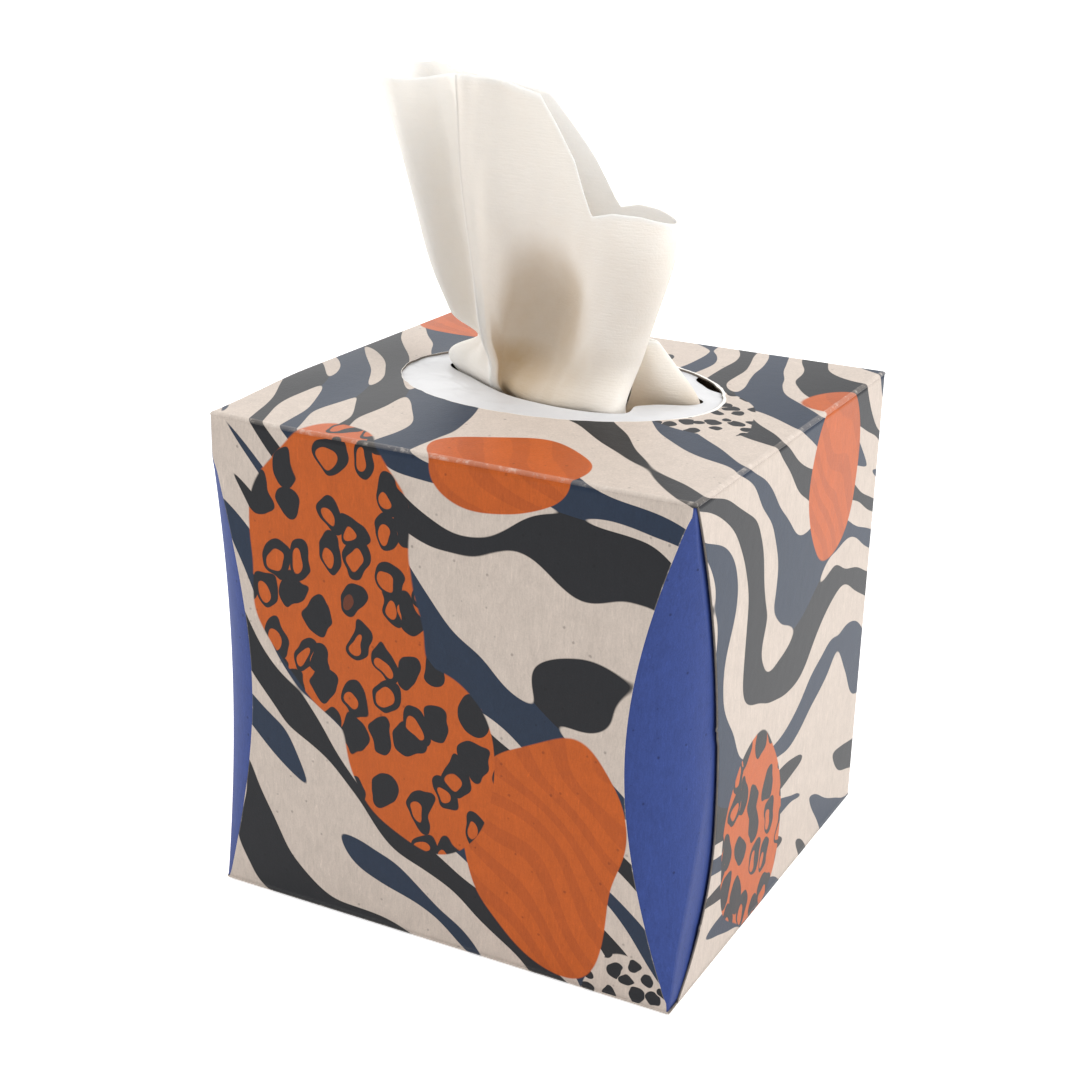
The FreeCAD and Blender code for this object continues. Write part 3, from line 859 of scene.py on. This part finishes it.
def makeTissueMaterial(values):
    # creped paper: fine cross ribs, soft mottling, rare specks; painted shade where paper lies
    # doubled against the light or in shade, painted light where a single ply lets light through
    material, tree, shader, place = newMaterial("tissuePaper")
    mottle = noise(tree, place, 240.0, 4.0, 0.6)
    ribs = noise(tree, vector(tree, "MULTIPLY", place, (300, 300, 2400)), 1.0, 2.0, 0.6)
    mesh = noise(tree, place, 2200.0, 2.0, 0.6)
    plies = attribute(tree, "plies")
    # painted shade, darker where the attribute says the paper is doubled against the light or in
    # shade
    soft = scaled(tree, calc(tree, "SUBTRACT", mottle, 0.5), 0.25, plies, clamp=True)
    colour = blend(tree, soft, values["white"], values["paintedShadeColour"])
    # painted light, lighter where the sheet is single; the same mask also sets the light let into
    # the paper
    thin = attribute(tree, "thin")
    colour = blend(tree, thin, colour, values["thin"])
    colour = shadeBy(tree, colour, scaled(tree, mottle, 0.10, 0.95))
    dot = rareSpecks(tree, place, 95.0, (0.955, 0.96), (0.045, 0.03))
    # a single ply lets more light through
    depth = scaled(tree, thin, 0.5, 0.25, clamp=True)
    sockets = {
        "Base Color": blend(tree, times(tree, dot, 0.75), colour, values["speck"]),
        "Roughness": 0.92,
        "Specular IOR Level": 0.2,
        "Sheen Weight": 0.15,
        "Subsurface Weight": depth,
        "Subsurface Radius": (1.0, 0.9, 0.8),
        "Subsurface Scale": 0.003,
    }
    fill(tree, shader.inputs, sockets)
    height = scaled(tree, ribs, 0.7, times(tree, mesh, 0.5))
    bump(tree, shader, height, 0.00012)
    return material


tissuePaper = makeTissueMaterial(tissueValues)

stackValues = {"halfWidth": 47.0, "halfDepth": 49.0, "foot": 0.95, "crown": 99.9, "radius": 30.0}

# Loops in plan at each height, in order: left end, horn front, valley, sharp fold, hollow left,
# middle and right, lobe front, right end, lobe back, back middle, horn's closing, horn back.

popupValues = {
    "thickness": 0.28,
    "columns": 312,
    "rows": 120,
    "levels": [
        (104.0, [(-24.5, 4), (-22, 1.6), (-18, 0), (-13, -2), (-8.5, -1.5), (-2, -2.5), (5, -4),
            (12, -6), (17, -3), (10.5, 3.4), (-3, 6), (-12, 6.6), (-18.5, 6.6)]),
        (107.5, [(-27, 4.5), (-24.5, 1.4), (-19.5, -1.5), (-13.2, -4.6), (-9.4, -4.4),
            (-3.3, -8.3), (4.2, -10.6), (12.3, -11.6), (18.2, -8.4), (10.8, 3), (-3, 6.4),
            (-12.5, 7), (-20.5, 7)]),
        (111.0, [(-30.5, 5), (-28, 1.2), (-21, -3.2), (-13.5, -7.9), (-11.8, -6.8), (-4.2, -12.6),
            (4.4, -15.6), (12.8, -15.8), (19.4, -12.8), (11, 2.5), (-3, 6.8), (-13, 7.5),
            (-23, 8)]),
        (115.5, [(-30, 5), (-27.6, 0.9), (-21.2, -3), (-14.9, -6.7), (-13.1, -3.2), (-4.6, -6.0),
            (3.6, -10.2), (12.6, -13.2), (19.2, -9.0), (11.4, 3), (-3, 7), (-13, 8),
            (-22.5, 8.4)]),
        (119.7, [(-23.5, 4), (-22.3, 0.6), (-20.0, -1.6), (-16.7, -6.0), (-14.4, -1.6),
            (-5.4, -0.2), (3, -5.4), (12, -11), (19.8, -6.2), (12, 3.5), (-3, 7.5), (-13, 8.5),
            (-20, 8)]),
        (122.2, [(-28.4, 4.7), (-26.3, -0.1), (-21.4, -1.0), (-17.1, -6.0), (-14.6, -1.2),
            (-5.6, 1.0), (3, -4.3), (12, -10.5), (20.5, -5.9), (12.5, 3.8), (-3, 7.6),
            (-13.5, 8.8), (-22, 9)]),
        (125.0, [(-31.0, 5), (-28.4, -0.8), (-22.6, -0.4), (-17.5, -6.0), (-14.6, -1.2),
            (-5.8, 1.8), (3, -3.2), (12, -10), (21.2, -5.5), (13, 4), (-3, 7.8), (-14, 9),
            (-24, 10)]),
        (131.3, [(-33.8, 5), (-30.9, -2), (-24.2, -0.4), (-18.4, -6.0), (-14.6, -2), (-6, 2.4),
            (3, -2), (12.5, -9), (22.9, -5), (14.5, 4.5), (-3, 8), (-15, 9.5), (-26, 11.5)]),
        (145.7, [(-38.8, 5), (-35.0, -3), (-27.0, -0.8), (-20.9, -6.0), (-16.5, -4.6), (-7, -3.5),
            (3, -5.5), (13.5, -8), (25.5, -4.6), (18, 5), (-4, 8), (-18, 7), (-31, 12)]),
        (163.2, [(-44.6, 5), (-39.6, -4), (-30.4, -1.8), (-23, -5.8), (-17.5, -4.8), (-8, -4.5),
            (0.5, -4), (8, -3.5), (20, 0), (11, 5), (-6, 3.4), (-22, 1.0), (-35.5, 11.5)]),
        (182.2, [(-51.5, 4), (-46, -5), (-35, -4.2), (-25.2, -5.2), (-19, -4.5), (-11, -3.6),
            (-3, -3), (5, -1), (12, 1.5), (4, 1.6), (-9, -1.8), (-25, -3.4), (-41, 10)]),
    ],
    "hem": [
        (-60, 172.0), (-49, 174.4), (-45, 176.4), (-38, 177.1), (-22, 176.8), (-15, 176.1),
        (-6.2, 173.8), (2.4, 160.9), (8.0, 150.2), (13, 151.4), (19, 151.2), (26.5, 149.8),
        (60, 149.4),
    ],
    # sharp fold up the front, groove beside it: place round the loop, height or depth, width
    "ridge": (3.0, 1.5, 0.10),
    "groove": (2.55, 0.9, 0.2),
    # how far the front of the horn's rim dips: place round the loop, width, depth
    "dip": (1.5, 0.9, 2.4),
    # its part under the film: half lengths of the folded leaf, and for each layer where it starts
    # and ends, from the foot (0) to the leaf's edge (1), and its height over the stack
    "leaf": (46.0, 39.0),
    "layers": [(0.0, 1.0, 2.6), (1.0, 0.1, 2.0), (0.1, 1.0, 1.5)],
}


def loopColumn(values):
    # each column's place round the loop, counted in the points of a level
    return np.arange(values["columns"]) / values["columns"] * len(values["levels"][0][1])


def tubeGrid(values):
    # Closed curves in plan at several heights, joined by upright splines, each column running from
    # the lowest level up to the hem above its own place.
    levels = np.array([z for z, _ in values["levels"]])
    loops = np.stack([loopCurve(points, values["columns"]) for _, points in values["levels"]])
    hemX, hemZ = np.array(values["hem"]).T
    top = np.full(values["columns"], levels[-1])
    place, width, depth = values["dip"]
    dip = depth * bell(loopColumn(values), place, width)

    def overHem(height):
        x = np.einsum("cl,lc->c", splineWeights(levels, height), loops[..., 0])
        return height - np.interp(x, hemX, hemZ) + dip

    rise = firstRise(overHem, np.full_like(top, levels[0]), top) - levels[0]
    z = levels[0] + rise * np.linspace(0, 1, values["rows"])[:, None]
    plan = np.einsum("rcl,lcd->rcd", splineWeights(levels, z), loops)
    return np.concatenate([plan, z[..., None]], axis=-1)


def planNormal(points):
    # level direction square to each row of a closed grid, outwards for a loop that runs clockwise
    along = np.roll(points, -1, axis=1) - np.roll(points, 1, axis=1)
    normal = joined(-along[..., 1], along[..., 0])
    return normal / np.maximum(np.linalg.norm(normal, axis=-1, keepdims=True), 1e-9)


def crownHeight(values, y):
    # top of the stack: level in the middle, round towards front and back, then straight down
    radius = values["radius"]
    past = np.maximum(np.abs(y) - (values["halfDepth"] - radius), 0)
    return values["crown"] - radius + np.sqrt(np.maximum(radius**2 - past**2, 0))


def foldedLeaf(ring, leaf, layers, crown, rows=14):
    # The part of a tissue under the film: from the foot of what stands up it runs out over the
    # stack to a rounded oblong and back again, layer under layer, always just over the crown.
    middle, half = (ring.max(axis=0) + ring.min(axis=0)) / 2, np.ptp(ring, axis=0) / 2
    turn = np.arctan2((ring[:, 1] - middle[1]) / half[1], (ring[:, 0] - middle[0]) / half[0])
    corner = (np.abs(np.cos(turn)) ** 6 + np.abs(np.sin(turn)) ** 6) ** (-1 / 6)
    edge = joined(leaf[0] * corner * np.cos(turn), leaf[1] * corner * np.sin(turn))
    found, height = [], ring[:, 2]
    for start, end, over in layers:
        share = np.linspace(0, 1, rows)[1:, None, None]
        plan = ring[:, :2] + (edge - ring[:, :2]) * (start + (end - start) * share)
        level = crownHeight(crown, plan[..., 1]) + over
        settle = smooth(share[..., 0], 0, 0.25)
        drop = height - crownHeight(crown, (found[-1] if found else ring[None])[-1][:, 1])
        z = level + (drop - over) * (1 - settle)
        found.append(np.concatenate([plan, z[..., None]], axis=-1))
        height = z[-1]
    return np.concatenate(found)


def makeTissue(name, values, points, plies, thin, crown):
    # the folded leaf's rows come first and the hem's last
    leaf = foldedLeaf(points[0], values["leaf"], values["layers"], crown)[::-1]
    whole, ofLeaf = np.concatenate([leaf, points]), np.ones(leaf.shape[:2])
    # painted shade over the folded leaf under the film
    plies = np.vstack([0.3 * ofLeaf, plies])
    thin = np.vstack([0 * ofLeaf, thin * np.ones_like(points[..., 0])])
    # painted light along the hem: the top rows lighter where the single edge lets light through
    last = len(whole) - 1
    hem = smooth(np.arange(len(whole)), last - 3, last)[:, None]
    thin = np.maximum(thin, hem * 0.9)
    if runsClockwise(points[0]):
        whole, plies, thin = whole[:, ::-1], plies[:, ::-1], thin[:, ::-1]
    piece = makePiece(name, [grid(whole, loop=True, plies=plies, thin=thin)], [tissuePaper])
    addWall(piece, values["thickness"])
    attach(piece, "root")
    return piece


def popupFolds(values, points):
    # how far the sheet stands out: one sharp fold up the front with a shallow groove beside it,
    # and a few slack waves that die out at the foot
    column, z = loopColumn(values)[None, :], points[..., 2]
    place, height, width = values["ridge"]
    out = height * np.exp(-np.abs(column - place) / width) * smooth(z, 106, 113)
    place, height, width = values["groove"]
    out -= height * bell(column, place, width) * band(z, (108, 118), (180, 170))
    waves = 0.16 * np.sin(column * 4.1 + z * 0.09) * np.sin(z * 0.11 + column)
    waves += 0.07 * np.sin(column * 9 - z * 0.2)
    return out + waves * smooth(np.linspace(0, 1, len(points)), 0.0, 0.2)[:, None]


def popupPaintedShade(column, x, z):
    # painted shade where more paper lies behind against the light and where the sheet is in shade:
    # an arch over the hollow and what lies below it, and the inside of the horn; low down the fold
    # shuts, and the wall behind it is in shade
    front = band(column, (3.1, 3.5), (8.4, 7.4))
    soft = 1.5 + 2.5 * smooth(z, 120, 136)
    sides = band(x, (-16.4, -16.4 + soft), (12, 1))
    arch = sides * smooth(z + ((x + 5) / 4.5) ** 2, 147, 136) * (0.75 + 0.25 * smooth(z, 140, 126))
    below = 0.75 * smooth(z, 129, 116) * band(x, (-15.8, -14.2), (21, 5))
    horn = 0.2 * band(column, (0.5, 1.6), (2.95, 2.5)) * band(z, (112, 124), (172, 150))
    plies = 0.75 * (0.75 * front * np.maximum(arch, below) + horn)
    wall = (0.45 + 0.45 * smooth(x, 10, -12)) * smooth(z, 128, 116)
    plies = np.maximum(plies, wall * band(column, (3.35, 3.5), (7.0, 5.2)))
    # and a faint painted shade over the right of the front and the lobe, below the hem
    return plies + 0.07 * band(column, (5.0, 6.0), (8.6, 8.2)) * smooth(z, 156, 140)


def popupThinAndPaintedLight(column, x, z):
    # painted light where the sheet is single and light shows through: the top of the back, a
    # painted highlight on the low fold's crest, and the horn's tip
    top = z[-1:]
    back = 0.9 * smooth(column, 8.1, 8.8) * smooth(z, top - 40, top - 8)
    crest = 0.4 * band(z, (108, 111), (136, 126)) * band(column, (2.6, 2.85), (3.3, 3.1))
    tip = 0.35 * smooth(x, -19, -34) * smooth(column, 2.9, 2.5)
    return np.maximum(np.maximum(back, crest), tip)


def makePopup(values, crown):
    points = tubeGrid(values)
    outward = planNormal(points) * (1 if runsClockwise(points[0]) else -1)
    column, x, z = loopColumn(values)[None, :], points[..., 0].copy(), points[..., 2]
    points[..., :2] += outward * popupFolds(values, points)[..., None]
    plies, thin = popupPaintedShade(column, x, z), popupThinAndPaintedLight(column, x, z)
    popup = makeTissue("popupTissue", values, points, plies, thin, crown)
    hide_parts("popup_tissue")


nextValues = {
    "thickness": 0.28,
    "columns": 120,
    "rows": 40,
    "levels": [
        (103.5, [(10, 8.4), (15, 7.4), (21, 7), (26, 6.9), (27, 8), (24.5, 9.4), (18, 10.3),
            (11.5, 10.2)]),
        (110.0, [(13.2, 5.4), (18.6, 2.6), (25, 2.2), (29.2, 4.0), (29.2, 6.5), (26, 8.5),
            (20, 9.4), (14.2, 8.8)]),
        (116.0, [(13.4, 6.2), (17.6, 3.8), (21.7, 3.8), (24.4, 5.0), (24.6, 6.7), (21.5, 8.3),
            (17.2, 8.9), (14.0, 8.3)]),
        (123.0, [(12.4, 7.3), (14.0, 6.6), (16.0, 6.5), (17.4, 7.0), (17.4, 7.5), (16.0, 7.9),
            (14.0, 8.1), (12.8, 7.9)]),
    ],
    "hem": [(10, 122.6), (18, 122.2), (31, 117)],
    "dip": (0, 1, 0),
    "leaf": (46.5, 49.6),
    "layers": [(0.0, 1.0, 1.0), (1.0, 0.05, 0.65), (0.05, 0.8, 0.35)],
}


def makeNext(values, crown):
    points = tubeGrid(values)
    # painted shade, darker towards the foot
    plies = 0.6 * smooth(points[..., 2], 119, 108)
    piece = makeTissue("nextTissue", values, points, plies, 0.0, crown)
    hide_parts("next_tissue")


makePopup(popupValues, stackValues)
makeNext(nextValues, stackValues)
print("stage: tissues")


# Stack in the box


def makeStack(values):
    # Stack: its outline seen from the side, foot to crown and down again, carried along X, with a
    # fine in and out for the leaves' edges, and each end drawn in to a closed middle.
    radius, foot, depth, width = (values[k] for k in ("radius", "foot", "halfDepth", "halfWidth"))
    corner = np.linspace(0, math.pi / 2, 24)[1:]
    level = values["crown"] - radius
    y = np.concatenate([np.full(60, depth), depth - radius + radius * np.cos(corner)])
    z = np.concatenate([np.linspace(foot, level, 60), level + radius * np.sin(corner)])
    bottom = np.linspace(-depth, depth, 40)[1:-1]
    y = np.concatenate([y, -y[::-1], bottom])
    z = np.concatenate([z, z[::-1], np.full_like(bottom, foot)])
    along = np.linspace(-1, 1, 60)[:, None] * width + 0 * y
    ends = np.linspace(0.02, 1, 50)[:, None] ** 0.7 + 0 * y
    leaves = 0.25 * softNoise(np.linspace(0, 60, 50)[:, None] + 0 * y, 31, 12) * (ends < 1)
    x = np.vstack([-width - leaves, along, (width + leaves)[::-1]])
    scale = np.vstack([ends, np.ones_like(along), ends[::-1]])
    centreZ = foot + 45
    points = joined(x, y * scale, centreZ + (z - centreZ) * scale)
    # the stack's paper takes a little painted shade all over
    stack = makePiece("tissueStack", [grid(points, loop=True, plies=0.2, thin=0.0)], [tissuePaper])
    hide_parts("tissue_stack")
    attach(stack, "root")


makeStack(stackValues)
print("stage: stack")


# Stage and light

lightValues = {
    "world": 0.77,
    "size": 0.8,
    "aim": (0, 0, 0.07),
    # places in metres, and power
    "lamps": {
        "keyLight": ((0.75, 0.05, 0.8), 7.2),
        "rimLight": ((-0.55, 0.7, 0.7), 1.9),
        "fillLight": ((-0.95, -0.2, 0.3), 4.0),
    },
}


def makeLamp(values, name, place, power):
    data = bpy.data.lights.new(name, "AREA")
    data.shape, data.size, data.energy = "DISK", values["size"], power
    lamp = bpy.data.objects.new(name, data)
    lamp.location = Vector(place)
    lamp.rotation_mode = "QUATERNION"
    lamp.rotation_quaternion = (Vector(place) - Vector(values["aim"])).to_track_quat("Z", "Y")
    scene.collection.objects.link(lamp)


def seenMask(tree):
    # 1 for what the camera sees, itself or through a mirror or glass, and 0 for light on the object
    rays = addNode(tree, "LightPath").outputs
    through = calc(tree, "MAXIMUM", rays["Is Glossy Ray"], rays["Is Transmission Ray"])
    return calc(tree, "MAXIMUM", rays["Is Camera Ray"], through)


def makeWorld(strength):
    world = bpy.data.worlds.new("studio")
    scene.world = world
    world.use_nodes = True
    tree = world.node_tree
    tree.nodes.clear()
    light = addNode(tree, "Background", {"Color": (1, 1, 1, 1), "Strength": strength})
    white = addNode(tree, "Background", {"Color": (1, 1, 1, 1), "Strength": 1.0})
    sockets = {0: seenMask(tree), 1: light.outputs[0], 2: white.outputs[0]}
    mixed = addNode(tree, "MixShader", sockets)
    addNode(tree, "OutputWorld", {"Surface": mixed.outputs[0]})


def makeFloor():
    material, tree, shader, _ = newMaterial("paleFloor")
    # white where the camera or a reflection sees it, less the object's own shadow
    sockets = {
        "Base Color": (0.9, 0.9, 0.9, 1),
        "Roughness": 0.9,
        "Emission Color": (1, 1, 1, 1),
        "Emission Strength": times(tree, seenMask(tree), 0.55),
    }
    fill(tree, shader.inputs, sockets)
    size = np.linspace(-4000, 4000, 9)
    x, y = np.meshgrid(size, size)
    floor = makePiece("floor", [grid(joined(x, y, 0 * x - 0.05))], [material])


makeWorld(lightValues["world"])
for name, (place, power) in lightValues["lamps"].items():
    makeLamp(lightValues, name, place, power)
makeFloor()
print("stage: light")
